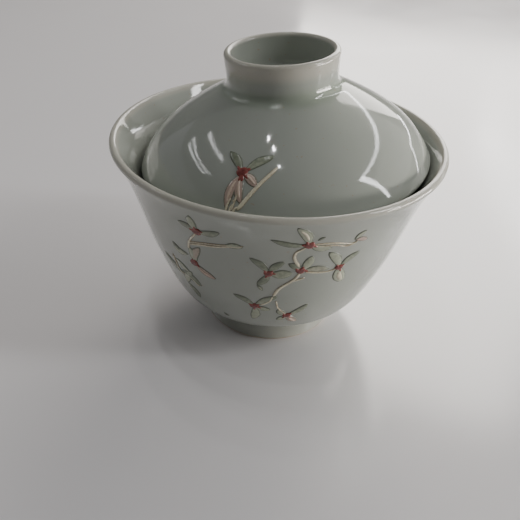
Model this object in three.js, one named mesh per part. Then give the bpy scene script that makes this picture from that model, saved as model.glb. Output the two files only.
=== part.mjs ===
// A gaiwan: a lidded porcelain tea bowl, thrown and turned as two pieces, a bowl and a lid.
// Millimetres, +Z up. The origin is the middle of the foot ring, on the table.
import * as THREE from "three";

// Bowl
const RIM_RADIUS = 47;
const BOWL_HEIGHT = 59.2;
const BELLY_RADIUS = 34.5;
const BELLY_HEIGHT = 24;
const BOWL_WALL = 3;
const LIP_THICKNESS = 2.1;
const LIP_TAPER = 10;
const FOOT_RADIUS = 20.2;
const FOOT_WIDTH = 3.2;
const FOOT_HEIGHT = 5.4;
const FOOT_UNDERCUT = 0.9;
const FOOT_ROUND = 0.7;

// Lid
const LID_HEIGHT = 31.1;
const LID_WALL = 2.2;
const KNOB_RADIUS = 15.4;
const KNOB_HEIGHT = 9.1;
const KNOB_WALL = 2;
const KNOB_DEPTH = 8.8;
const KNOB_TAPER = 0.4;
const KNOB_COVE = 2.2;

// How the lid sits in the bowl: on the inner wall, a little below the rim, leaning towards -X.
const SEAT_DEPTH = 6.9;
const LID_CLEARANCE = 0.5;
const LID_TILT = 4.9;

// Slopes of the outlines, in degrees above the level: outwards and up is positive.
const BELLY_SLOPE = 67.6;
const RIM_SLOPE = 57;
const DOME_TOP_SLOPE = -27;
const DOME_EDGE_SLOPE = -63;

// How finely the round shapes are cut up.
const ROUND_SEGMENTS = 72;
const CURVE_STEPS = 7;
const EDGE_STEPS = 4;

const CELADON = 0xc5cac0;

const radians = THREE.MathUtils.degToRad;
const point = (radius, height) => new THREE.Vector2(radius, height);

// The point at a distance from another, in a direction given in degrees above the level.
function polar(from, degrees, distance) {
  const angle = radians(degrees);
  return point(from.x + distance * Math.cos(angle), from.y + distance * Math.sin(angle));
}

// A smooth curve that leaves start and reaches end at given slopes. The two pulls say how far each
// slope is held, as shares of the straight distance.
function sweep(start, startSlope, startPull, end, endSlope, endPull) {
  const distance = start.distanceTo(end);
  const leaving = polar(start, startSlope, startPull * distance);
  const arriving = polar(end, endSlope, -endPull * distance);
  return new THREE.CubicBezierCurve(start, leaving, arriving, end).getPoints(CURVE_STEPS);
}

// Points of a round edge about a centre, from one direction to another, both ends included.
function round(centre, radius, fromDegrees, toDegrees) {
  const points = [];
  for (let step = 0; step <= EDGE_STEPS; step += 1) {
    points.push(polar(centre, THREE.MathUtils.lerp(fromDegrees, toDegrees, step / EDGE_STEPS), radius));
  }
  return points;
}

// The outline moved inwards, square to itself, by the wall's thickness at each point.
function innerSide(outline, thicknessAt) {
  return outline.map((here, index) => {
    const before = outline[Math.max(index - 1, 0)];
    const after = outline[Math.min(index + 1, outline.length - 1)];
    const along = after.clone().sub(before).normalize();
    return here.clone().add(point(-along.y, along.x).multiplyScalar(thicknessAt(here)));
  });
}

// The height at which an outline that runs outwards reaches a radius.
function heightAt(outline, radius) {
  const index = outline.findIndex((here) => here.x > radius);
  const [before, after] = [outline[index - 1], outline[index]];
  return THREE.MathUtils.mapLinear(radius, before.x, after.x, before.y, after.y);
}

// A closed solid of revolution about Z from an outline of (radius, height) points.
function turned(name, outline) {
  const geometry = new THREE.LatheGeometry(outline, ROUND_SEGMENTS);
  geometry.rotateX(Math.PI / 2);
  const glaze = new THREE.MeshStandardMaterial({ color: CELADON, roughness: 0.12, metalness: 0 });
  const mesh = new THREE.Mesh(geometry, glaze);
  mesh.name = name;
  return mesh;
}

// The outside of the bowl from the axis, under the foot, out round the belly and up to the lip.
function bowlOutside(lipCentre) {
  const belly = point(BELLY_RADIUS, BELLY_HEIGHT);
  const lipStart = polar(lipCentre, RIM_SLOPE - 90, LIP_THICKNESS / 2);
  const below = sweep(point(0, FOOT_HEIGHT), 0, 0.7, belly, BELLY_SLOPE, 0.365);
  const above = sweep(belly, BELLY_SLOPE, 0.385, lipStart, RIM_SLOPE, 0.305);
  return [...below, ...above.slice(1)];
}

// The bowl's wall has one thickness up to just below the lip, and thins from there.
function bowlWallAt(here, lipHeight) {
  const share = THREE.MathUtils.smoothstep(here.y, lipHeight - LIP_TAPER, lipHeight);
  return THREE.MathUtils.lerp(BOWL_WALL, LIP_THICKNESS, share);
}

function bowlOutlines() {
  const lipCentre = point(RIM_RADIUS - LIP_THICKNESS / 2, BOWL_HEIGHT - LIP_THICKNESS / 2);
  const outside = bowlOutside(lipCentre);
  const inside = innerSide(outside, (here) => bowlWallAt(here, lipCentre.y));
  inside[0].x = 0;
  return { lipCentre, outside, inside };
}

// The foot ring: down its inner face, across the flat that stands on the table, and up outside.
function footRing(outside) {
  const rootRadius = FOOT_RADIUS - FOOT_UNDERCUT;
  const innerRadius = FOOT_RADIUS - FOOT_WIDTH;
  return [
    point(innerRadius, heightAt(outside, innerRadius)),
    point(innerRadius, FOOT_ROUND),
    point(innerRadius + FOOT_ROUND, 0),
    point(FOOT_RADIUS - FOOT_ROUND, 0),
    point(FOOT_RADIUS, FOOT_ROUND),
    point(rootRadius, heightAt(outside, rootRadius)),
  ];
}

function makeBowl({ lipCentre, outside, inside }) {
  const foot = footRing(outside);
  const innerRadius = foot[0].x;
  const rootRadius = foot[foot.length - 1].x;
  const lip = round(lipCentre, LIP_THICKNESS / 2, RIM_SLOPE - 90, RIM_SLOPE + 90);
  return turned("bowl", [
    ...outside.filter((here) => here.x < innerRadius),
    ...foot,
    ...outside.filter((here) => here.x > rootRadius),
    ...lip.slice(1, -1),
    ...inside.reverse(),
  ]);
}

// Where the lid's edge rests. The wall's normal at the seat meets the axis at the pivot, and an edge
// that lies on a ball about the pivot stays clear of the wall however the lid leans.
function findSeat(inside) {
  const height = BOWL_HEIGHT - SEAT_DEPTH;
  const index = inside.findIndex((here) => here.y > height);
  const [below, above] = [inside[index - 1], inside[index]];
  const flare = (above.x - below.x) / (above.y - below.y);
  const contact = point(below.x + flare * (height - below.y), height);
  const pivot = point(0, height + contact.x * flare);
  const edgeReach = contact.distanceTo(pivot) - LID_CLEARANCE - LID_WALL / 2;
  const edgeCentre = contact.clone().sub(pivot).setLength(edgeReach).add(pivot);
  return { pivot, edgeCentre };
}

// The hollow ring knob, from where the dome meets it, over its lip and down to the middle of its floor.
function knobRing() {
  const baseRadius = KNOB_RADIUS - KNOB_TAPER;
  const baseHeight = LID_HEIGHT - KNOB_HEIGHT;
  const floorHeight = LID_HEIGHT - KNOB_DEPTH;
  const floorRadius = baseRadius - KNOB_WALL;
  const lipCentre = point(KNOB_RADIUS - KNOB_WALL / 2, LID_HEIGHT - KNOB_WALL / 2);
  return [
    point(baseRadius, baseHeight + KNOB_COVE),
    ...round(lipCentre, KNOB_WALL / 2, 0, 180),
    point(floorRadius, floorHeight + KNOB_COVE),
    point(floorRadius - KNOB_COVE, floorHeight),
    point(0, floorHeight),
  ];
}

// The lid's own frame has its lowest point, the underside of its edge, at height 0.
function makeLid(edgeCentreRadius) {
  const edgeCentre = point(edgeCentreRadius, LID_WALL / 2);
  const edgeStart = polar(edgeCentre, DOME_EDGE_SLOPE + 90, LID_WALL / 2);
  const domeTop = point(KNOB_RADIUS - KNOB_TAPER, LID_HEIGHT - KNOB_HEIGHT);
  const outside = sweep(domeTop, DOME_TOP_SLOPE, 0.655, edgeStart, DOME_EDGE_SLOPE, 0.24);
  const inside = innerSide(outside, () => -LID_WALL);
  const edge = round(edgeCentre, LID_WALL / 2, DOME_EDGE_SLOPE - 90, DOME_EDGE_SLOPE + 90);
  const coveEdge = domeTop.x + KNOB_COVE;
  return turned("lid", [
    point(0, LID_HEIGHT - KNOB_DEPTH - LID_WALL),
    ...inside.slice(0, -1),
    ...edge,
    ...outside.filter((here) => here.x > coveEdge).reverse().slice(1),
    point(coveEdge, heightAt(outside, coveEdge)),
    ...knobRing(),
  ]);
}

// The lid hangs from the pivot, so leaning it swings its edge along the bowl's wall.
function seatLid(seat) {
  const lid = makeLid(seat.edgeCentre.x);
  lid.position.z = seat.edgeCentre.y - LID_WALL / 2 - seat.pivot.y;
  const cradle = new THREE.Group();
  cradle.position.z = seat.pivot.y;
  cradle.rotation.y = -radians(LID_TILT);
  cradle.add(lid);
  return cradle;
}

const outlines = bowlOutlines();
const seat = findSeat(outlines.inside);

const gaiwan = new THREE.Group();
gaiwan.add(seatLid(seat));
gaiwan.add(makeBowl(outlines));

export default gaiwan;
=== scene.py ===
import math
from bisect import bisect_right

import bmesh
import bpy
from bpy.props import FloatProperty, FloatVectorProperty, IntProperty, PointerProperty
from mathutils import Matrix, Vector, noise
from mathutils.geometry import interpolate_bezier


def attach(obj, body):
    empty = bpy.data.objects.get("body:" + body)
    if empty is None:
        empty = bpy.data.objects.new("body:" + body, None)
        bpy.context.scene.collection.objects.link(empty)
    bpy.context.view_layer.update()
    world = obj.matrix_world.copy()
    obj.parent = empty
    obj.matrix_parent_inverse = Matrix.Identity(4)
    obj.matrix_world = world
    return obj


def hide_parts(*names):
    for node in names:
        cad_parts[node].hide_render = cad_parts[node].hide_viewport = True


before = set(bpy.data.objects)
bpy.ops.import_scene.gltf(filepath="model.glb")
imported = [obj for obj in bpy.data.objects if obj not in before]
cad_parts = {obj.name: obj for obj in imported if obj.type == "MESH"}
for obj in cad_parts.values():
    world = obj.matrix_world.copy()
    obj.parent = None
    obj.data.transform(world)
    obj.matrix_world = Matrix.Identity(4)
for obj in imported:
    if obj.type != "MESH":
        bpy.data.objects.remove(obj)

bl_info = {
    "name": "Gaiwan",
    "version": (1, 0, 0),
    "blender": (4, 5, 0),
    "location": "3D View > Sidebar > Gaiwan",
    "description": "A lidded porcelain tea bowl with enamelled sprays, its lid resting a little askew",
    "category": "Add Mesh",
}

MM = 0.001
SQUARE = math.pi / 2

# Points of a turned piece that lie closer than this are one.
MERGED = 0.002 * MM

# The glaze waves slowly in two sizes, the finer one weaker. It lies flat at the foot of each piece.
WIDE_WAVE, FINE_WAVE, FINE_SHARE = 11 * MM, 4 * MM, 0.4
FLAT_BELOW = 1.2 * MM


# Sizes and colours


def hex_colour(text):
    """An sRGB hex colour as linear red, green and blue."""
    parts = [int(text[i : i + 2], 16) / 255 for i in (1, 3, 5)]
    return tuple(c / 12.92 if c <= 0.04045 else ((c + 0.055) / 1.055) ** 2.4 for c in parts)


def size(name, description, millimetres):
    """A length setting, given in millimetres and kept in metres."""
    return FloatProperty(
        name=name, description=description, default=millimetres * MM, min=0, precision=5,
        subtype="DISTANCE", unit="LENGTH",
    )


def slope(name, description, degrees):
    """An angle setting, given in degrees and kept in radians."""
    return FloatProperty(
        name=name, description=description, default=math.radians(degrees),
        subtype="ANGLE", unit="ROTATION",
    )


def colour(name, description, text):
    """A colour setting, given as sRGB hex."""
    return FloatVectorProperty(
        name=name, description=description, default=hex_colour(text), size=3, min=0, max=1,
        subtype="COLOR",
    )


class GaiwanBowlSettings(bpy.types.PropertyGroup):
    rim_radius: size("Rim radius", "Middle of the bowl to the outside of its lip", 47)
    height: size("Height", "Table to the top of the lip", 59.2)
    belly_radius: size("Belly radius", "Radius where the lower and upper curves of the wall meet", 34.5)
    belly_height: size("Belly height", "Height where the lower and upper curves of the wall meet", 24)
    belly_slope: slope("Belly slope", "Slope of the wall at the belly, from level", 67.6)
    rim_slope: slope("Rim slope", "Slope of the wall below the lip, from level", 57)
    wall: size("Wall", "Thickness of the wall and the floor", 3)
    lip_thickness: size("Lip thickness", "Thickness at the rounded lip", 2.1)
    lip_taper: size("Lip taper", "Height over which the wall thins towards the lip", 10)
    foot_radius: size("Foot radius", "Outside of the foot ring at the table", 20.2)
    foot_width: size("Foot width", "Width of the foot ring's standing edge", 3.2)
    foot_height: size("Foot height", "Table to the underside of the bowl, inside the foot ring", 5.4)
    foot_undercut: size("Foot undercut", "How far the foot ring leans in towards the bowl", 0.9)
    foot_round: size("Foot rounding", "Rounding of the foot ring's edges", 0.7)
    foot_cove: size("Foot cove", "Reach of the hollow between foot ring and bowl", 1.7)


class GaiwanLidSettings(bpy.types.PropertyGroup):
    height: size("Height", "Lid edge to the top of its ring", 31.1)
    wall: size("Wall", "Thickness of the dome and its edge", 2.2)
    ring_radius: size("Ring radius", "Outside of the knob ring at its lip", 15.4)
    ring_height: size("Ring height", "Dome to the lip of the knob ring", 9.1)
    ring_wall: size("Ring wall", "Thickness of the knob ring", 2)
    ring_depth: size("Ring depth", "Depth of the hollow inside the knob ring", 8.8)
    ring_taper: size("Ring taper", "How much the knob ring narrows towards the dome", 0.4)
    ring_cove: size("Ring cove", "Reach of the hollow between knob ring and dome", 2.2)
    top_slope: slope("Top slope", "Slope of the dome beside the knob ring", -27)
    edge_slope: slope("Edge slope", "Slope of the dome at its edge", -63)
    seat_depth: size("Seat depth", "Lip of the bowl down to where the lid rests", 6.9)
    clearance: size("Clearance", "Gap between the lid's edge and the bowl's wall", 0.5)
    lean: slope("Lean", "How far the lid rests from level", 4.9)


class GaiwanGlazeSettings(bpy.types.PropertyGroup):
    glaze: colour("Glaze", "The pale grey-green glaze over white porcelain", "#a2a69e")
    pooled: colour("Pooled glaze", "The glaze where it runs thick, in hollows", "#969e91")
    thin: colour("Thin glaze", "The glaze where it draws thin, on edges", "#b9b6ab")
    biscuit: colour("Biscuit", "The bare fired clay of the foot's standing edge", "#d8cfbf")
    iron: colour("Iron line", "The warm line where glaze ends and bare clay begins", "#a98a68")
    waviness: size("Waviness", "Height of the glaze's slow waves", 0.018)


class GaiwanEnamelSettings(bpy.types.PropertyGroup):
    outline: colour("Leaf outline", "The dark line round each leaf", "#686d60")
    pale_leaf: colour("Pale leaf", "The thin green wash inside an open leaf", "#a6ab96")
    dark_leaf: colour("Dark leaf", "The thick green of a filled leaf and its tip", "#747b69")
    cream: colour("Cream", "The raised cream of stems and buds", "#ddd6bd")
    stem_edge: colour("Stem edge", "The brown line beside a stem", "#93836c")
    pink: colour("Pink", "The rose wash on some petals", "#bf9d94")
    red: colour("Red", "The iron red of a blossom's heart", "#8d4a44")
    deep_red: colour("Deep red", "The thickest red, at the middle of the heart", "#683331")
    rise: size("Rise", "How far the enamel stands above the glaze", 0.22)


class GaiwanStageSettings(bpy.types.PropertyGroup):
    floor: colour("Floor", "The plain pale table top", "#e4e1e2")
    air: colour("Air", "The light from all round", "#b0b1b2")
    lens: FloatProperty(name="Lens", description="The camera's lens", default=45, min=1, unit="CAMERA")
    roll: slope("Roll", "How far the camera leans to its right", 3.12)
    round_steps: IntProperty(
        name="Round steps", description="Steps round each turned piece", default=240, min=24,
    )


# Curves in radius and height


def polar(start, angle, distance):
    """The point at that distance from start, at an angle from level."""
    return start + Vector((math.cos(angle), math.sin(angle))) * distance


def sweep(start, start_slope, start_pull, end, end_slope, end_pull, steps=30):
    """A smooth curve that leaves start and meets end at those slopes.

    A pull says how far a slope is held, as a share of the straight distance.
    """
    chord = (end - start).length
    leaving = polar(start, start_slope, start_pull * chord)
    meeting = polar(end, end_slope, -end_pull * chord)
    return interpolate_bezier(start, leaving, meeting, end, steps + 1)


def arc(centre, radius, start, end, steps=8):
    """Points along part of a circle, from one angle to another."""
    return [polar(centre, start + (end - start) * i / steps, radius) for i in range(steps + 1)]


def slope_at(curve, i):
    """The slope of a curve at its point i."""
    along = curve[min(i + 1, len(curve) - 1)] - curve[max(i - 1, 0)]
    return math.atan2(along.y, along.x)


def offset(curve, thickness_at):
    """The curve moved to its left by the thickness at each point."""
    return [
        polar(point, slope_at(curve, i) + SQUARE, thickness_at(point)) for i, point in enumerate(curve)
    ]


def crossing(curve, value, part=0):
    """Where a curve's radius (part 0) or height (part 1) passes a value, as the point and its index."""
    for i in range(len(curve) - 1):
        low, high = curve[i][part], curve[i + 1][part]
        if low != high and min(low, high) <= value <= max(low, high):
            return curve[i].lerp(curve[i + 1], (value - low) / (high - low)), i
    raise ValueError(f"the curve never reaches {value}")


def smoothed(value, low, high):
    """0 at low, 1 at high, and smooth between."""
    x = min(max((value - low) / (high - low), 0), 1)
    return x * x * (3 - 2 * x)


# The bowl's and the lid's outlines

# Where the foot ring's outer face ends and its cove begins: how much of the undercut it has taken
# by there, and how far below the wall it lies, in coves.
SHOULDER_IN, SHOULDER_DOWN = 0.55, 1.7

# Slopes of the knob ring's outline: its faces, its outer face just under the lip, and its well.
KNOB_FACE, KNOB_CURL, KNOB_WELL = math.radians(91), math.radians(86), math.radians(92)

# How far the middle of the lid's underside lies below the dome's top, as a share of its wall, and
# the point of the dome's inner curve where that middle part ends.
UNDER_KNOB = 0.87
UNDERSIDE_END = 6


def bowl_outside(s):
    """The bowl's outer curve from its middle, under the floor, up to the lip, and the lip's centre."""
    half_lip = s.lip_thickness / 2
    centre = Vector((s.rim_radius - half_lip, s.height - half_lip))
    lip_start = polar(centre, s.rim_slope - SQUARE, half_lip)
    belly = Vector((s.belly_radius, s.belly_height))
    below = sweep(Vector((0, s.foot_height)), 0, 0.7, belly, s.belly_slope, 0.365, 44)
    above = sweep(belly, s.belly_slope, 0.385, lip_start, s.rim_slope, 0.305, 44)
    return below + above[1:], centre


def bowl_inside(s):
    """The bowl's inner curve, from the middle of its floor up to the lip."""
    outside, centre = bowl_outside(s)

    def thickness(point):
        near_lip = smoothed(point.y, centre.y - s.lip_taper, centre.y)
        return s.wall + (s.lip_thickness - s.wall) * near_lip

    inside = offset(outside, thickness)
    inside[0].x = 0
    return inside


def foot_ring(s, outside):
    """The foot ring's outline, from the recess, down, under and up to the wall, with coves at its roots."""
    rounding, cove = s.foot_round, s.foot_cove
    inner = s.foot_radius - s.foot_width
    root = s.foot_radius - s.foot_undercut
    recess, i = crossing(outside, inner - cove)
    wall, k = crossing(outside, root + cove)
    lean = math.atan2(wall.y - rounding, -s.foot_undercut)
    shoulder = Vector((s.foot_radius - s.foot_undercut * SHOULDER_IN, wall.y - cove * SHOULDER_DOWN))
    inner_face = Vector((inner, recess.y - cove))
    inward = sweep(recess, slope_at(outside, i), 0.45, inner_face, -SQUARE, 0.45, 8)
    bottom = arc(Vector((inner + rounding, rounding)), rounding, 2 * SQUARE, 3 * SQUARE)
    bottom += arc(Vector((s.foot_radius - rounding, rounding)), rounding, -SQUARE, 0)
    outward = sweep(shoulder, lean, 0.4, wall, slope_at(outside, k), 0.5, 10)
    return outside[: i + 1] + inward + bottom + outward + outside[k + 1 :]


def bowl_outline(s):
    """The bowl's whole outline, from under its floor round to the middle of its inside."""
    outside, centre = bowl_outside(s)
    lip = arc(centre, s.lip_thickness / 2, s.rim_slope - SQUARE, s.rim_slope + SQUARE, 14)
    return foot_ring(s, outside)[:-1] + lip + bowl_inside(s)[-2::-1]


def seat(bowl, lid):
    """The pivot height and the lid edge's centre, for an edge that rests on the bowl's inner wall."""
    contact, i = crossing(bowl_inside(bowl), bowl.height - lid.seat_depth, 1)
    normal = slope_at(bowl_inside(bowl), i) + SQUARE
    pivot = contact + polar(Vector((0, 0)), normal, 1) * (contact.x / -math.cos(normal))
    reach = (contact - pivot).length - lid.clearance - lid.wall / 2
    return pivot.y, polar(Vector((0, pivot.y)), normal + math.pi, reach)


def lid_dome(bowl, lid):
    """The lid's outer curve, from beside the knob ring down to the edge, and the edge's centre.

    Both are in the lid's own frame, with the underside of its edge at height 0.
    """
    centre = Vector((seat(bowl, lid)[1].x, lid.wall / 2))
    edge_start = polar(centre, lid.edge_slope + SQUARE, lid.wall / 2)
    top = Vector((lid.ring_radius - lid.ring_taper, lid.height - lid.ring_height))
    return sweep(top, lid.top_slope, 0.655, edge_start, lid.edge_slope, 0.24, 56), centre


def knob_ring(s, start, start_slope):
    """The knob ring's outline, from the cove on the dome over its lip to the middle of the hollow."""
    half = s.ring_wall / 2
    floor = s.height - s.ring_depth
    lip = Vector((s.ring_radius - half, s.height - half))
    waist = Vector((s.ring_radius - s.ring_taper, s.height - s.ring_height + s.ring_cove))
    upward = sweep(start, start_slope + math.pi, 0.42, waist, KNOB_FACE, 0.5, 12)
    outer = sweep(waist, KNOB_FACE, 0.35, lip + Vector((half, 0)), KNOB_CURL, 0.4, 14)
    over = arc(lip, half, 0, math.pi, 12)
    well = Vector((s.ring_radius - s.ring_wall - s.ring_taper, floor + s.ring_cove))
    inner = sweep(lip - Vector((half, 0)), KNOB_CURL - math.pi, 0.4, well, -KNOB_FACE, 0.3, 12)
    middle = Vector((well.x - s.ring_cove, floor))
    hollow = sweep(well, -KNOB_WELL, 0.55, middle, math.pi, 0.5, 10)
    return upward + outer[1:] + over[1:] + inner[1:] + hollow[1:] + [Vector((0, floor))]


def lid_outline(bowl, lid):
    """The lid's whole outline in its own frame, from the middle of its underside to the knob's hollow."""
    outside, centre = lid_dome(bowl, lid)
    start, i = crossing(outside, lid.ring_radius - lid.ring_taper + lid.ring_cove)
    inside = offset(outside, lambda point: -lid.wall)
    middle = Vector((0, lid.height - lid.ring_height - lid.wall * UNDER_KNOB))
    end_slope = slope_at(inside, UNDERSIDE_END)
    under = sweep(middle, 0, 0.5, inside[UNDERSIDE_END], end_slope, 0.3, 16)
    edge = arc(centre, lid.wall / 2, lid.edge_slope - SQUARE, lid.edge_slope + SQUARE, 14)
    dome = inside[UNDERSIDE_END + 1 : -1] + edge + outside[-2:i:-1]
    return under + dome + knob_ring(lid, start, slope_at(outside, i))


def lid_place(bowl, lid):
    """Where the lid's own frame sits in the object's frame: leaning about the seat's pivot."""
    pivot, edge = seat(bowl, lid)
    drop = Matrix.Translation((0, 0, edge.y - lid.wall / 2 - pivot))
    return Matrix.Translation((0, 0, pivot)) @ Matrix.Rotation(-lid.lean, 4, "Y") @ drop


# Mesh helpers


def finish_mesh(name, mesh, materials, body):
    """Turns a bmesh into an object that rides a body and takes a material slot."""
    data = bpy.data.meshes.new(name)
    mesh.to_mesh(data)
    mesh.free()
    data.shade_smooth()
    for material in materials:
        data.materials.append(material)
    made = bpy.data.objects.new(name, data)
    bpy.context.scene.collection.objects.link(made)
    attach(made, body)
    return made


def turn(outline, steps, thickness_of, waviness):
    """An outline turned a full circle, with how thick the glaze lies kept at each point."""
    mesh = bmesh.new()
    points = [mesh.verts.new((point.x, 0, point.y)) for point in outline]
    edges = [mesh.edges.new(pair) for pair in zip(points, points[1:])]
    bmesh.ops.spin(
        mesh, geom=points + edges, cent=(0, 0, 0), axis=(0, 0, 1), angle=math.tau, steps=steps,
        use_merge=True,
    )
    bmesh.ops.remove_doubles(mesh, verts=mesh.verts, dist=MERGED)
    bmesh.ops.recalc_face_normals(mesh, faces=mesh.faces)
    mesh.normal_update()
    pooled = mesh.verts.layers.float.new("pooled")
    for vert in mesh.verts:
        vert[pooled] = thickness_of(math.hypot(vert.co.x, vert.co.y), vert.co.z)
    for vert in mesh.verts:
        if vert.co.z > FLAT_BELOW:
            wave = noise.noise(vert.co / WIDE_WAVE) + FINE_SHARE * noise.noise(vert.co / FINE_WAVE)
            vert.co += vert.normal * wave * waviness
    return mesh


def near(radius, height, centre, reach):
    """1 at a place in radius and height, fading to 0 at reach from it."""
    return 1 - smoothed(math.hypot(radius - centre[0], height - centre[1]), 0, reach)


# Materials. Each one's function takes a node tree and its settings, and gives the surface.

# How a range is mapped, and what is mixed.
SMOOTH = {"interpolation_type": "SMOOTHSTEP"}
COLOURS = {"data_type": "RGBA"}


def add(tree, kind, inputs=(), output=None, **settings):
    """Adds one shader node with its settings and links, and gives its named output, or else its first.

    inputs are values or other nodes' outputs, in the order of the sockets in use or by socket name.
    """
    node = tree.nodes.new(f"ShaderNode{kind}")
    for key, value in settings.items():
        setattr(node, key, value)
    sockets = [socket for socket in node.inputs if socket.enabled]
    if isinstance(inputs, dict):
        sockets = [node.inputs[name] for name in inputs]
        inputs = inputs.values()
    for socket, value in zip(sockets, inputs):
        if isinstance(value, bpy.types.NodeSocket):
            tree.links.new(value, socket)
        else:
            socket.default_value = value
    first = next((socket for socket in node.outputs if socket.enabled), None)
    return node.outputs[output] if output else first


def rgba(value):
    """A colour setting with full opacity."""
    return (*value, 1)


def glazed_porcelain(tree, s):
    """Fired celadon glaze over white porcelain: a hard clear gloss over a milky body.

    The eye sees sharp reflections, slightly rippled by the glaze, over a soft grey-green that light
    enters a little, deeper in hollows and warmer where the glaze draws thin.
    """
    place = add(tree, "TexCoord", output="Object")
    cloud = add(tree, "TexNoise", (place, 1 / (14 * MM), 3))
    fleck = add(tree, "TexNoise", (place, 1 / (0.9 * MM), 1))
    haze = add(tree, "TexNoise", (place, 1 / (3 * MM), 4))
    wide_dimple = add(tree, "TexNoise", (place, 1 / (2.2 * MM), 1))
    fine_dimple = add(tree, "TexNoise", (place, 1 / (0.35 * MM), 1))
    pooled = add(tree, "Attribute", output="Fac", attribute_name="pooled")
    uneven = add(tree, "MapRange", (cloud, 0.3, 0.7, 0.8, 1.1), **SMOOTH)
    depth = add(tree, "Math", (pooled, uneven), operation="MULTIPLY")
    thick = add(tree, "MapRange", (depth, 0, 1), **SMOOTH)
    thin = add(tree, "MapRange", (depth, 0, -1), **SMOOTH)
    cloudy = add(tree, "MapRange", (cloud, 0.35, 0.75, 0, 0.16), **SMOOTH)
    specks = add(tree, "MapRange", (fleck, 0.73, 0.78, 0, 0.35), **SMOOTH)
    body = add(tree, "Mix", (thick, rgba(s.glaze), rgba(s.pooled)), **COLOURS)
    body = add(tree, "Mix", (thin, body, rgba(s.thin)), **COLOURS)
    body = add(tree, "Mix", (cloudy, body, rgba(s.pooled)), **COLOURS)
    body = add(tree, "Mix", (specks, body, rgba(s.iron)), **COLOURS)
    orange_peel = add(tree, "Math", (wide_dimple, fine_dimple), operation="ADD")
    relief = {"Height": orange_peel, "Distance": 0.006 * MM, "Strength": 0.8}
    return add(tree, "BsdfPrincipled", {
        "Base Color": body,
        "Roughness": add(tree, "MapRange", (haze, 0.3, 0.8, 0.03, 0.075), **SMOOTH),
        "IOR": 1.52,
        "Subsurface Weight": 0.12,
        "Subsurface Radius": (2.2 * MM, 2.4 * MM, 2.0 * MM),
        "Subsurface Scale": 1.0,
        "Normal": add(tree, "Bump", relief),
    })


def biscuit_foot(tree, s):
    """Bare fired clay, wiped clean of glaze before firing.

    The eye sees a dry, matt, fine grain, toasted at the glaze line.
    """
    place = add(tree, "TexCoord", output="Object")
    height = add(tree, "SeparateXYZ", (place,), output="Z")
    grain = add(tree, "TexNoise", (place, 1 / (0.5 * MM), 4, 0.7))
    dark_grain = add(tree, "MapRange", (grain, 0.3, 0.8, 0, 0.5), **SMOOTH)
    toasted = add(tree, "MapRange", (height, 0.25 * MM, 0.7 * MM), **SMOOTH)
    body = add(tree, "Mix", (dark_grain, rgba(s.biscuit), rgba(s.iron)), **COLOURS)
    body = add(tree, "Mix", (toasted, body, rgba(s.iron)), **COLOURS)
    relief = {"Height": grain, "Distance": 0.03 * MM, "Strength": 1}
    return add(tree, "BsdfPrincipled", {
        "Base Color": body,
        "Roughness": add(tree, "MapRange", (grain, 0.3, 0.7, 0.65, 0.85), **SMOOTH),
        "IOR": 1.5,
        "Normal": add(tree, "Bump", relief),
    })


def enamel(tree, place, body, dullness, relief):
    """The glassy surface that all the overglaze enamels share: its least and most dull, and its relief."""
    brushed = add(tree, "TexNoise", (place, 1 / (0.45 * MM), 2))
    haze = add(tree, "TexNoise", (place, 1 / (0.8 * MM), 3))
    return add(tree, "BsdfPrincipled", {
        "Base Color": body,
        "Roughness": add(tree, "MapRange", (haze, 0.3, 0.7, *dullness), **SMOOTH),
        "IOR": 1.55,
        "Normal": add(tree, "Bump", {"Height": brushed, "Distance": relief, "Strength": 1}),
    })


def leaf_enamel(tree, s):
    """Overglaze enamel, a thin glassy green brushed inside a dark drawn line.

    The eye sees it thicken and darken towards the tip.
    """
    place = add(tree, "TexCoord", output="Object")
    inset = add(tree, "Attribute", output="Fac", attribute_name="inset")
    filled = add(tree, "Attribute", output="Fac", attribute_name="filled")
    rosy = add(tree, "Attribute", output="Fac", attribute_name="rosy")
    shake = add(tree, "TexNoise", (place, 1 / (0.9 * MM), 2))
    blotch = add(tree, "TexNoise", (place, 1 / (1.1 * MM), 3))
    wobble = add(tree, "MapRange", (shake, 0.25, 0.75, -0.12 * MM, 0.12 * MM), **SMOOTH)
    uneven = add(tree, "MapRange", (blotch, 0.3, 0.7, -0.2, 0.2), **SMOOTH)
    edge = add(tree, "Math", (inset, wobble), operation="ADD")
    wash = add(tree, "Math", (filled, uneven), operation="ADD")
    deep = add(tree, "MapRange", (wash, 0, 1), **SMOOTH)
    line = add(tree, "MapRange", (edge, 0.22 * MM, 0.42 * MM, 0.85, 0), **SMOOTH)
    body = add(tree, "Mix", (deep, rgba(s.pale_leaf), rgba(s.dark_leaf)), **COLOURS)
    body = add(tree, "Mix", (rosy, body, rgba(s.pink)), **COLOURS)
    body = add(tree, "Mix", (line, body, rgba(s.outline)), **COLOURS)
    return enamel(tree, place, body, (0.08, 0.22), 0.02 * MM)


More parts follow.
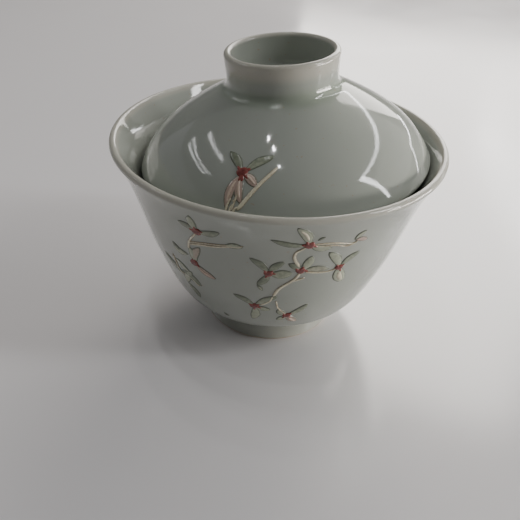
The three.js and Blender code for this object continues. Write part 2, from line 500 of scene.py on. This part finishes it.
def petal_enamel(tree, s):
    """Overglaze enamel, an opaque cream piled up with the brush.

    The eye sees stems and buds as low ridges that catch the light, with a brown line beside them.
    """
    place = add(tree, "TexCoord", output="Object")
    inset = add(tree, "Attribute", output="Fac", attribute_name="inset")
    rosy = add(tree, "Attribute", output="Fac", attribute_name="rosy")
    shake = add(tree, "TexNoise", (place, 1 / (0.7 * MM), 2))
    blotch = add(tree, "TexNoise", (place, 1 / (1.3 * MM), 3))
    wobble = add(tree, "MapRange", (shake, 0.25, 0.75, -0.08 * MM, 0.08 * MM), **SMOOTH)
    uneven = add(tree, "MapRange", (blotch, 0.35, 0.75, 0, 0.35), **SMOOTH)
    edge = add(tree, "Math", (inset, wobble), operation="ADD")
    line = add(tree, "MapRange", (edge, 0.06 * MM, 0.22 * MM, 0.75, 0), **SMOOTH)
    body = add(tree, "Mix", (uneven, rgba(s.cream), rgba(s.stem_edge)), **COLOURS)
    body = add(tree, "Mix", (rosy, body, rgba(s.pink)), **COLOURS)
    body = add(tree, "Mix", (line, body, rgba(s.stem_edge)), **COLOURS)
    return enamel(tree, place, body, (0.12, 0.28), 0.03 * MM)


def blossom_enamel(tree, s):
    """Overglaze iron red, a dense glassy dab that is darkest where it lies thickest."""
    place = add(tree, "TexCoord", output="Object")
    inset = add(tree, "Attribute", output="Fac", attribute_name="inset")
    blotch = add(tree, "TexNoise", (place, 1 / (0.6 * MM), 3))
    thick = add(tree, "MapRange", (inset, 0.2 * MM, 1.1 * MM), **SMOOTH)
    uneven = add(tree, "MapRange", (blotch, 0.3, 0.7, 0.4, 1), **SMOOTH)
    patchy = add(tree, "Math", (thick, uneven), operation="MULTIPLY")
    body = add(tree, "Mix", (patchy, rgba(s.red), rgba(s.deep_red)), **COLOURS)
    return enamel(tree, place, body, (0.08, 0.2), 0.03 * MM)


def laminate(tree, s):
    """A pale laminate table top: white under a satin clear layer, which holds soft, blurred reflections."""
    place = add(tree, "TexCoord", output="Object")
    wear = add(tree, "TexNoise", (place, 1 / (160 * MM), 3))
    haze = add(tree, "TexNoise", (place, 1 / (60 * MM), 3))
    patch = add(tree, "MapRange", (wear, 0.3, 0.8, 0, 0.04), **SMOOTH)
    grey = (0.5, 0.5, 0.5, 1)
    return add(tree, "BsdfPrincipled", {
        "Base Color": add(tree, "Mix", (patch, rgba(s.floor), grey), **COLOURS),
        "Roughness": add(tree, "MapRange", (haze, 0.3, 0.7, 0.15, 0.2), **SMOOTH),
        "IOR": 1.9,
    })


# What each material is called, by the function that builds it.
MATERIAL_NAMES = {
    glazed_porcelain: "celadon glazed porcelain, dipped and fired",
    biscuit_foot: "biscuit porcelain foot, wiped bare",
    leaf_enamel: "green overglaze enamel, outlined and washed",
    petal_enamel: "cream overglaze enamel, brushed thick",
    blossom_enamel: "iron red overglaze enamel, dabbed",
    laminate: "white laminate, satin",
}


def made_of(build, settings):
    """The material that a function builds, built once and then shared."""
    name = MATERIAL_NAMES[build]
    material = bpy.data.materials.get(name)
    if material is None:
        material = bpy.data.materials.new(name)
        material.use_nodes = True
        tree = material.node_tree
        tree.nodes.clear()
        add(tree, "OutputMaterial", (build(tree, settings),))
    return material


# Enamel on a turned surface


class Skin:
    """A turned outer surface on which enamel is laid by azimuth and height."""

    def __init__(self, curve, place=None):
        """curve runs upwards in radius and height; place turns it into the object's frame."""
        self.curve = curve
        self.place = place or Matrix.Identity(4)
        self.lengths = [0]
        for first, second in zip(curve, curve[1:]):
            self.lengths.append(self.lengths[-1] + (second - first).length)

    def length_at(self, height):
        """Distance along the curve to that height."""
        point, i = crossing(self.curve, height, 1)
        return self.lengths[i] + (point - self.curve[i]).length

    def at_length(self, length):
        """The point at that distance along the curve, and its slope."""
        i = min(max(bisect_right(self.lengths, length) - 1, 0), len(self.lengths) - 2)
        t = (length - self.lengths[i]) / (self.lengths[i + 1] - self.lengths[i])
        return self.curve[i].lerp(self.curve[i + 1], t), slope_at(self.curve, i)

    def spot(self, azimuth, height):
        """A place given in degrees from the front and mm of height, as azimuth and length."""
        return Vector((math.radians(azimuth), self.length_at(height * MM)))

    def position(self, azimuth, length, lift):
        """The point in space at an azimuth from the front, raised above the surface."""
        point, slope_here = self.at_length(length)
        out = polar(point, slope_here - SQUARE, lift)
        return self.place @ Vector((out.x * math.sin(azimuth), -out.x * math.cos(azimuth), out.y))


def leaf_shape(t):
    """Half-width along a leaf, pointed at its tip and narrow at its root."""
    return math.sin(math.pi * t) ** 0.7 * (0.84 + 0.26 * t)


def bud_shape(t):
    """Half-width along a bud, full and round."""
    return math.sin(math.pi * t) ** 0.5


def stem_shape(t):
    """Half-width along a stem, even, with blunt ends."""
    return min(1, 12 * t, 12 * (1 - t)) ** 0.5 * (1.08 - 0.3 * t)


def path_through(points, steps=12):
    """A smooth path through points."""
    path = []
    padded = [points[0] * 2 - points[1], *points, points[-1] * 2 - points[-2]]
    for a, b, c, d in zip(padded, padded[1:], padded[2:], padded[3:]):
        path += interpolate_bezier(b, b + (c - a) / 6, c - (d - b) / 6, c, steps)[:-1]
    return [*path, points[-1]]


class Brush:
    """Lays strokes of one enamel on one skin, in one mesh."""

    # A stroke is full height where it is at least this wide, as a share of its width.
    full_from = 0.35

    # A point this close to a stroke's axis, as a share of its radius, is its end.
    end_point = 1e-6

    def __init__(self, skin, rise):
        self.skin, self.rise = skin, rise
        self.mesh = bmesh.new()
        self.layers = {
            name: self.mesh.verts.layers.float.new(name) for name in ("inset", "filled", "rosy")
        }

    def stroke(self, path, width, shape, rise=1.0, steps=14, around=14, filled=(0, 0), rosy=0.0):
        """One closed stroke along a path of azimuth and length, half sunk in the glaze."""
        turned = Matrix.Rotation(math.radians(90), 4, "Y")
        made = bmesh.ops.create_uvsphere(
            self.mesh, u_segments=around, v_segments=steps, radius=1, matrix=turned,
        )["verts"]
        last = len(path) - 1
        for vert in made:
            t = math.acos(min(max(-vert.co.x, -1), 1)) / math.pi
            ring = math.hypot(vert.co.y, vert.co.z)
            across, up = (vert.co.y / ring, vert.co.z / ring) if ring > self.end_point else (0, 0)
            i = min(int(t * last), last - 1)
            centre = path[i].lerp(path[i + 1], t * last - i)
            radius = self.skin.at_length(centre.y)[0].x
            along = path[min(i + 2, last)] - path[max(i - 1, 0)]
            ahead = Vector((along.x * radius, along.y)).normalized()
            half = width / 2 * shape(t)
            side = Vector((-ahead.y, ahead.x)) * across * half
            azimuth, length = centre.x + side.x / radius, centre.y + side.y
            body = min(1, half / (self.full_from * width))
            vert.co = self.skin.position(azimuth, length, self.rise * rise * up * body)
            vert[self.layers["inset"]] = (1 - abs(across)) * half
            vert[self.layers["filled"]] = filled[0] + (filled[1] - filled[0]) * t
            vert[self.layers["rosy"]] = rosy

    def ray(self, root, direction, length, bow):
        """A bowed path from a root of azimuth and length, in a direction in degrees."""
        angle = math.radians(direction)
        radius = self.skin.at_length(root.y)[0].x
        ahead = Vector((math.cos(angle), math.sin(angle)))
        side = Vector((-ahead.y, ahead.x))
        points = []
        for t in (0, 0.5, 1):
            local = ahead * length * t + side * length * bow * (1 - (2 * t - 1) ** 2)
            points.append(root + Vector((local.x / radius, local.y)))
        return path_through(points, 8)

    def finish(self, name, material, body, slot):
        """Ends the mesh as one piece."""
        bmesh.ops.recalc_face_normals(self.mesh, faces=self.mesh.faces)
        return finish_mesh(name, self.mesh, [material], body)


# Heights are over the table on the bowl, and over the lid's edge on the lid.
# Each blossom: azimuth in degrees from the front, height in mm, heart size in mm, and its petals.
# Each petal: direction in degrees (0 is to the right, 90 up), length in mm, and kind.
BOWL_BLOSSOMS = (
    (12, 49.7, 2.8, ((116, 8.8, "cream leaf"), (167, 9.7, "long leaf"), (-16, 6.3, "open leaf"))),
    (10.9, 40.2, 2.6, ((71, 6.1, "open leaf"), (-3, 7.7, "olive leaf"), (139, 4.4, "dark leaf"))),
    (-0.5, 38.9, 2.5, (
        (131, 7.3, "dark leaf"), (54, 6.2, "dark leaf"),
        (6, 6.0, "broad leaf"), (-120, 5.9, "dark leaf"),
    )),
    (25.8, 39.7, 2.4, ((122, 8.3, "open leaf"), (46, 7.0, "green leaf"), (-67, 7.2, "bud"))),
    (-5.9, 24.4, 2.6, (
        (143, 7.0, "dark leaf"), (43, 8.1, "green leaf"),
        (-18, 4.6, "pale leaf"), (-96, 8.0, "open leaf"),
    )),
    (9.2, 20.3, 2.5, (
        (49, 7.5, "green leaf"), (-135, 3.9, "pale leaf"),
        (-50, 5.4, "pink leaf"), (130, 4.3, "pale leaf"),
    )),
    (-25.4, 49.4, 2.8, ((163, 5.5, "dark leaf"), (95, 6.2, "open leaf"), (19, 7.0, "green leaf"))),
    (-30.6, 36.4, 2.5, ((92, 6.1, "open leaf"), (67, 8.0, "rosy leaf"), (-33, 7.2, "pink leaf"))),
)
LID_BLOSSOMS = (
    (-16, 11.2, 3.0, (
        (136, 7.4, "dark leaf"), (33, 9.2, "green leaf"), (-103, 9.6, "pink leaf"),
        (-40, 5.2, "pink leaf"), (-83, 7.8, "pink leaf"),
    )),
)

# Each lone leaf: azimuth, height, direction, length and kind.
BOWL_LEAVES = (
    (27.4, 49.7, 54, 4.1, "open leaf"),
    (27.4, 49.7, -15, 4.4, "pink leaf"),
    (-16, 46.9, 8, 5.0, "open leaf"),
    (-32.7, 38.7, 176, 5.4, "open leaf"),
    (-35.5, 38.0, 137, 4.4, "dark leaf"),
    (-38.8, 28.3, 148, 9.4, "wide leaf"),
    (-40.6, 30.2, -30, 7.4, "wide leaf"),
    (-35.1, 30.9, 144, 5.6, "open leaf"),
    (-40.5, 24.6, 62, 8.4, "open leaf"),
    (-40.2, 25.0, -66, 6.4, "wide leaf"),
    (-20.3, 15.6, 141, 1.9, "dark leaf"),
    (-4.9, 34, -56, 2.8, "pale leaf"),
    (14.2, 51.3, 42, 2.2, "dark leaf"),
)

# Each stem: its width in mm, then its places as azimuth and height.
BOWL_STEMS = (
    (1.0, (1.7, 29.5), (4, 33.1), (8, 36.0), (10, 37.9), (11, 40.2)),
    (0.9, (10.3, 41.4), (8, 44.6), (8, 47.0), (10, 48.4), (12, 49.7)),
    (0.7, (7.9, 36), (10, 36.5), (13, 37.4)),
    (0.6, (12.9, 50), (20, 49.8), (27, 48.4), (29, 49.1)),
    (0.5, (13.5, 49.2), (20, 49.0), (25, 47.9), (28, 48.3)),
    (0.6, (12.5, 39.6), (18, 38.9), (22, 38.9), (25.4, 39.6)),
    (0.7, (-30.9, 43.3), (-25, 44.8), (-19, 45.8), (-14, 47), (-9, 48.1)),
    (0.6, (-30.9, 44.1), (-24, 45.7), (-17, 46.9), (-12, 47.9)),
    (0.8, (-31.5, 41.6), (-30, 44.7), (-26, 48.6)),
    (0.6, (-43.3, 35.4), (-42, 29.3), (-36, 28.6), (-32, 26.2)),
    (0.8, (1.7, 29.5), (0.2, 27.0), (-3.5, 25.0)),
    (0.5, (3.2, 27.5), (4.6, 24.0), (8.4, 21.2)),
)
LID_STEMS = (
    (1.1, (-15.6, 4.2), (-11, 7.8), (-7, 10.1), (-1, 12.5)),
    (0.5, (-17.5, 4.0), (-16.5, 7.0), (-15.9, 10.6)),
    (0.7, (-19.6, 3.9), (-19.2, 5.3), (-18.3, 6.6)),
    (0.7, (-18.2, 3.7), (-17.9, 4.7), (-17.2, 5.4)),
    (0.7, (-17.4, 5.9), (-16.6, 6.4), (-16.0, 7.3)),
    (0.7, (-16.9, 3.6), (-16.4, 4.5), (-15.3, 4.9)),
)

# How each kind of petal is painted: width in mm, fill at root and at tip, and how rosy.
PETAL_KINDS = {
    "cream leaf": (3.0, (0.0, 0.15), 0.0),
    "long leaf": (2.1, (0.45, 1.0), 0.0),
    "open leaf": (2.8, (0.0, 0.3), 0.0),
    "olive leaf": (2.4, (0.3, 0.55), 0.1),
    "dark leaf": (2.4, (0.5, 1.0), 0.0),
    "wide leaf": (3.2, (0.6, 1.0), 0.0),
    "broad leaf": (3.6, (0.3, 0.6), 0.0),
    "green leaf": (2.5, (0.25, 0.8), 0.0),
    "pale leaf": (2.4, (0.1, 0.3), 0.0),
    "rosy leaf": (2.6, (0.2, 0.4), 0.45),
    "pink leaf": (2.6, (0.0, 0.2), 0.7),
    "bud": (3.6, (0.0, 0.0), 0.0),
}

# The cream laid inside some kinds of petal: its width in mm, and how rosy.
CREAM_INSIDE = {"cream leaf": (1.0, 0.0), "bud": (1.7, 0.0), "pink leaf": (1.0, 0.55)}

# How far a petal bows to one side, as a share of its length; every other petal bows the other way.
PETAL_BOW = 0.08
LONE_LEAF_BOW = 0.07

# The widest that a lone leaf may be, as a share of its length.
WIDEST_LEAF = 0.45

# The sprays stand on opposite sides, in degrees.
SPRAY_TURNS = (0, 180)


def petal_strokes(brush, blossoms, turned):
    """Each petal of a spray at one turn, as its path and its kind."""
    for azimuth, height, _, petals in blossoms:
        root = brush.skin.spot(azimuth + turned, height)
        for number, (direction, length, kind) in enumerate(petals):
            bow = PETAL_BOW if number % 2 else -PETAL_BOW
            yield brush.ray(root, direction, length * MM, bow), kind


def paint_leaves(skin, rise, blossoms, leaves, turns):
    """Brushes every leaf and outlined petal of a spray, repeated at each turn."""
    brush = Brush(skin, rise)
    for turned in turns:
        for path, kind in petal_strokes(brush, blossoms, turned):
            width, filled, rosy = PETAL_KINDS[kind]
            shape = bud_shape if kind == "bud" else leaf_shape
            brush.stroke(path, width * MM, shape, filled=filled, rosy=rosy)
        for azimuth, height, direction, length, kind in leaves:
            width, filled, rosy = PETAL_KINDS[kind]
            path = brush.ray(skin.spot(azimuth + turned, height), direction, length * MM, LONE_LEAF_BOW)
            narrow = min(width, length * WIDEST_LEAF) * MM
            brush.stroke(path, narrow, leaf_shape, filled=filled, rosy=rosy)
    return brush


def paint_cream(skin, rise, blossoms, stems, turns):
    """Brushes every stem, and the cream laid inside some petals, repeated at each turn."""
    brush = Brush(skin, rise)
    for turned in turns:
        for width, *places in stems:
            path = path_through([skin.spot(azimuth + turned, height) for azimuth, height in places])
            brush.stroke(path, width * MM, stem_shape, rise=1.1, steps=10 * len(places), around=10)
        for path, kind in petal_strokes(brush, blossoms, turned):
            if kind in CREAM_INSIDE:
                width, rosy = CREAM_INSIDE[kind]
                inner = path[len(path) // 4 : -2]
                brush.stroke(inner, width * MM, bud_shape, rise=1.7, rosy=rosy)
    return brush


def paint_hearts(skin, rise, blossoms, turns):
    """Dabs the red heart of every blossom, with short strokes running out of it, at each turn."""
    brush = Brush(skin, rise)
    for turned in turns:
        for azimuth, height, across, petals in blossoms:
            middle, heart = skin.spot(azimuth + turned, height), across * MM
            dab = brush.ray(middle, 20, heart * 0.5, 0.1)
            back = brush.ray(middle, 200, heart * 0.5, -0.1)
            brush.stroke(back[::-1] + dab[1:], heart * 0.95, bud_shape, rise=2.0, around=16)
            for direction, _, _ in petals:
                path = brush.ray(middle, direction, heart * 0.8, 0.05)
                brush.stroke(path, heart * 0.3, leaf_shape, rise=1.7, steps=10, around=10)
    return brush


def add_spray(context, body, skin, spray):
    """Paints one spray, repeated at each turn, as three enamels that ride one body."""
    s = context.scene.gaiwan_enamel
    blossoms, leaves, stems = spray
    green = paint_leaves(skin, s.rise, blossoms, leaves, SPRAY_TURNS)
    green.finish(f"{body}_leaves", made_of(leaf_enamel, s), body, "leaf_enamel")
    cream = paint_cream(skin, s.rise, blossoms, stems, SPRAY_TURNS)
    cream.finish(f"{body}_stems", made_of(petal_enamel, s), body, "petal_enamel")
    red = paint_hearts(skin, s.rise, blossoms, SPRAY_TURNS)
    red.finish(f"{body}_blossom_hearts", made_of(blossom_enamel, s), body, "blossom_enamel")


# Operators


class GAIWAN_OT_stage(bpy.types.Operator):
    """Adds the table top, the light and the camera"""

    bl_idname = "gaiwan.stage"
    bl_label = "Stage"

    def execute(self, context):
        s = context.scene.gaiwan_stage
        add_floor(s)
        add_lights(s)
        add_camera(s)
        return {"FINISHED"}


class GAIWAN_OT_bowl(bpy.types.Operator):
    """Adds the turned bowl with its foot ring"""

    bl_idname = "gaiwan.bowl"
    bl_label = "Bowl"

    def execute(self, context):
        scene = context.scene
        s, glaze = scene.gaiwan_bowl, scene.gaiwan_glaze
        root = (s.foot_radius, s.foot_height + 1.8 * MM)
        floor = (0, s.foot_height + s.wall)

        # Glaze pools round the foot ring's root and on the floor, and draws thin on the ring and the lip.
        def thickness(radius, height):
            pool = near(radius, height, root, 2 * MM) + near(radius, height, floor, 20 * MM)
            outside = smoothed(radius, s.foot_radius - s.foot_width, s.foot_radius - s.foot_undercut)
            ring = outside * (1 - smoothed(height, 4 * MM, 6 * MM)) / 2
            return pool - ring - smoothed(height, s.height - 2.2 * MM, s.height - 0.2 * MM)

        steps = scene.gaiwan_stage.round_steps
        mesh = turn(bowl_outline(s), steps, thickness, glaze.waviness)
        for face in mesh.faces:
            place = face.calc_center_median()
            on_ring = s.foot_radius - s.foot_width - MM < math.hypot(place.x, place.y)
            face.material_index = int(place.z < s.foot_round * 0.75 and on_ring)
        materials = [made_of(glazed_porcelain, glaze), made_of(biscuit_foot, glaze)]
        bowl = finish_mesh("porcelain_bowl", mesh, materials, "bowl")
        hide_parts("bowl")
        return {"FINISHED"}


class GAIWAN_OT_lid(bpy.types.Operator):
    """Adds the turned lid with its knob ring, resting a little askew"""

    bl_idname = "gaiwan.lid"
    bl_label = "Lid"

    def execute(self, context):
        scene = context.scene
        bowl, s, glaze = scene.gaiwan_bowl, scene.gaiwan_lid, scene.gaiwan_glaze
        cove = (s.ring_radius - s.ring_taper + 0.8 * MM, s.height - s.ring_height + 0.6 * MM)

        # Glaze pools round the knob ring, and draws thin up its outer wall and on both edges.
        def thickness(radius, height):
            pool = near(radius, height, cove, 4 * MM)
            lip = smoothed(height, s.height - 1.4 * MM, s.height) + 1 - smoothed(height, 0, 1.5 * MM)
            outside = smoothed(radius, s.ring_radius - s.ring_wall, s.ring_radius - s.ring_taper)
            wall = smoothed(height, s.height - s.ring_height + 3 * MM, s.height - 2 * MM)
            return pool - max(lip, wall * outside)

        steps = scene.gaiwan_stage.round_steps
        mesh = turn(lid_outline(bowl, s), steps, thickness, glaze.waviness)
        bmesh.ops.transform(mesh, matrix=lid_place(bowl, s), verts=mesh.verts)
        lid = finish_mesh("porcelain_lid", mesh, [made_of(glazed_porcelain, glaze)], "lid")
        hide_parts("lid")
        return {"FINISHED"}


class GAIWAN_OT_bowl_spray(bpy.types.Operator):
    """Paints the flower sprays on the outside of the bowl"""

    bl_idname = "gaiwan.bowl_spray"
    bl_label = "Bowl sprays"

    def execute(self, context):
        s = context.scene.gaiwan_bowl
        outside = bowl_outside(s)[0]
        skin = Skin([p for p in outside if p.x > s.foot_radius])
        add_spray(context, "bowl", skin, (BOWL_BLOSSOMS, BOWL_LEAVES, BOWL_STEMS))
        return {"FINISHED"}


class GAIWAN_OT_lid_spray(bpy.types.Operator):
    """Paints the flower sprays on top of the lid"""

    bl_idname = "gaiwan.lid_spray"
    bl_label = "Lid sprays"

    def execute(self, context):
        scene = context.scene
        bowl, s = scene.gaiwan_bowl, scene.gaiwan_lid
        skin = Skin(lid_dome(bowl, s)[0][::-1], lid_place(bowl, s))
        add_spray(context, "lid", skin, (LID_BLOSSOMS, (), LID_STEMS))
        return {"FINISHED"}


# Stage

# Each soft panel: its place, width, height and glow, and its tint. Places and sizes are in metres.
WARM, COOL = "#fffaf3", "#f4f4ff"
PANELS = {
    "back panel": ((0.24, 0.84, 0.46), 0.52, 0.64, 6.2, WARM),
    "right wall": ((0.80, 0.34, 0.50), 1.1, 0.5, 0.55, WARM),
    "low right panel": ((1.0, 0, 0.065), 0.7, 0.13, 32, WARM),
    "left fill": ((-0.95, 0.25, 0.32), 1.2, 0.4, 0.2, COOL),
}

# Each long thin light: its two ends, width and glow. They show as lines in the lid's glaze.
STRIPS = {
    "ceiling strip near": ((0.9, 2.65, 1), (0.9, -0.2, 1), 0.045, 13),
    "ceiling strip corner": ((0.9, -0.2, 1), (3.4, -0.34, 1), 0.13, 24),
    "window edge left": ((0.237, 0.428, 0.104), (0.362, 0.304, 0.163), 0.009, 14),
    "window edge right": ((0.362, 0.304, 0.163), (0.44, 0.224, 0.078), 0.009, 18),
    "left tube one": ((-1.41, 0.9, 1), (-1.19, -0.06, 1), 0.018, 10),
    "left tube two": ((-1.31, 0.92, 1), (-1.06, -0.13, 1), 0.018, 10),
    "left tube three": ((-0.97, 0.63, 1), (-0.73, 0.05, 1), 0.018, 11),
}

# The small round ceiling lamps: where they hang, how high, and their size and glow.
LAMPS = ((-0.23, 0.085), (-0.17, -0.005), (-0.128, -0.18), (-0.146, 0.228))
CEILING = 1
LAMP_SIZE = 0.015
LAMP_GLOW = 560

# What the panels face, how strong the light from all round is, and half the table top's width.
BOWL_MIDDLE = (0, 0, 0.03)
AIR_STRENGTH = 0.22
FLOOR_HALF = 3

# The camera's place, what it looks at, its sensor's width in mm and the nearest that it sees.
EYE = (0, -0.1705, 0.134)
LOOKS_AT = (-0.0035, 0, 0.0154)
SENSOR = 36
NEAREST = 0.01


def add_floor(s):
    """One wide, plain table top."""
    mesh = bmesh.new()
    bmesh.ops.create_grid(mesh, x_segments=1, y_segments=1, size=FLOOR_HALF)
    data = bpy.data.meshes.new("table top")
    mesh.to_mesh(data)
    mesh.free()
    data.materials.append(made_of(laminate, s))
    floor = bpy.data.objects.new("table top", data)
    bpy.context.scene.collection.objects.link(floor)


def look_from(place, target):
    """The matrix of something at a place that faces a target."""
    back = (Vector(place) - Vector(target)).normalized()
    return Matrix.Translation(place) @ back.to_track_quat("Z", "Y").to_matrix().to_4x4()


def softbox(name, place, target, wide, high, glow, tint="#ffffff", shape="RECTANGLE"):
    """An even light panel; glow is how bright its face looks."""
    light = bpy.data.lights.new(name, "AREA")
    light.shape, light.size, light.size_y = shape, wide, high
    light.color = hex_colour(tint)
    light.energy = glow * math.pi * wide * high * (1 if shape == "RECTANGLE" else math.pi / 4)
    made = bpy.data.objects.new(name, light)
    made.matrix_world = look_from(place, target)
    made.visible_camera = False
    bpy.context.scene.collection.objects.link(made)
    return made


def strip(name, first, last, wide, glow):
    """A long thin light from one place to another, facing the tea bowl."""
    first, last = Vector(first), Vector(last)
    middle = (first + last) / 2
    made = softbox(name, middle, (0, 0, 0), (last - first).length, wide, glow)
    along = (last - first).normalized()
    back = (middle - along * middle.dot(along)).normalized()
    turned = Matrix((along, back.cross(along), back)).transposed().to_4x4()
    made.matrix_world = Matrix.Translation(middle) @ turned


def add_lights(s):
    """Dim light all round, soft panels behind and to the sides, and the thin lights seen in the glaze."""
    world = bpy.data.worlds.new("studio air")
    world.use_nodes = True
    background = world.node_tree.nodes["Background"]
    background.inputs["Color"].default_value = rgba(s.air)
    background.inputs["Strength"].default_value = AIR_STRENGTH
    bpy.context.scene.world = world
    for name, (place, wide, high, glow, tint) in PANELS.items():
        softbox(name, place, BOWL_MIDDLE, wide, high, glow, tint)
    for name, (first, last, wide, glow) in STRIPS.items():
        strip(name, first, last, wide, glow)
    for number, (x, y) in enumerate(LAMPS, 1):
        place, below = (x, y, CEILING), (x, y, 0)
        softbox(f"ceiling spot {number}", place, below, LAMP_SIZE, LAMP_SIZE, LAMP_GLOW, shape="DISK")


def add_camera(s):
    """The camera, close in front and looking down into the lid."""
    camera = bpy.data.cameras.new("camera")
    camera.lens = s.lens
    camera.sensor_width = SENSOR
    camera.clip_start = NEAREST
    made = bpy.data.objects.new("camera", camera)
    made.matrix_world = look_from(EYE, LOOKS_AT) @ Matrix.Rotation(s.roll, 4, "Z")
    bpy.context.scene.collection.objects.link(made)
    bpy.context.scene.camera = made


# Panel and registration

OPERATORS = (
    GAIWAN_OT_stage, GAIWAN_OT_bowl, GAIWAN_OT_lid, GAIWAN_OT_bowl_spray, GAIWAN_OT_lid_spray,
)
SETTINGS = {
    "gaiwan_bowl": GaiwanBowlSettings,
    "gaiwan_lid": GaiwanLidSettings,
    "gaiwan_glaze": GaiwanGlazeSettings,
    "gaiwan_enamel": GaiwanEnamelSettings,
    "gaiwan_stage": GaiwanStageSettings,
}


class GAIWAN_PT_panel(bpy.types.Panel):
    """Lists the gaiwan's pieces and settings"""

    bl_label = "Gaiwan"
    bl_idname = "GAIWAN_PT_panel"
    bl_space_type = "VIEW_3D"
    bl_region_type = "UI"
    bl_category = "Gaiwan"

    def draw(self, context):
        for operator in OPERATORS:
            self.layout.operator(operator.bl_idname)
        for name, group in SETTINGS.items():
            box = self.layout.box()
            box.label(text=name.replace("_", " "))
            for key in group.__annotations__:
                box.prop(getattr(context.scene, name), key)


def register():
    """Adds the settings, the operators and the panel."""
    for made in (*SETTINGS.values(), *OPERATORS, GAIWAN_PT_panel):
        bpy.utils.register_class(made)
    for name, group in SETTINGS.items():
        setattr(bpy.types.Scene, name, PointerProperty(type=group))


def unregister():
    """Takes them away again."""
    for name in SETTINGS:
        delattr(bpy.types.Scene, name)
    for made in (GAIWAN_PT_panel, *OPERATORS, *SETTINGS.values()):
        bpy.utils.unregister_class(made)


def main():
    """Makes the stage and every piece."""
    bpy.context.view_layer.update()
    register()
    bpy.ops.gaiwan.stage()
    bpy.ops.gaiwan.bowl()
    bpy.ops.gaiwan.lid()
    bpy.ops.gaiwan.bowl_spray()
    bpy.ops.gaiwan.lid_spray()
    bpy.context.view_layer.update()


if __name__ == "__main__":
    main()
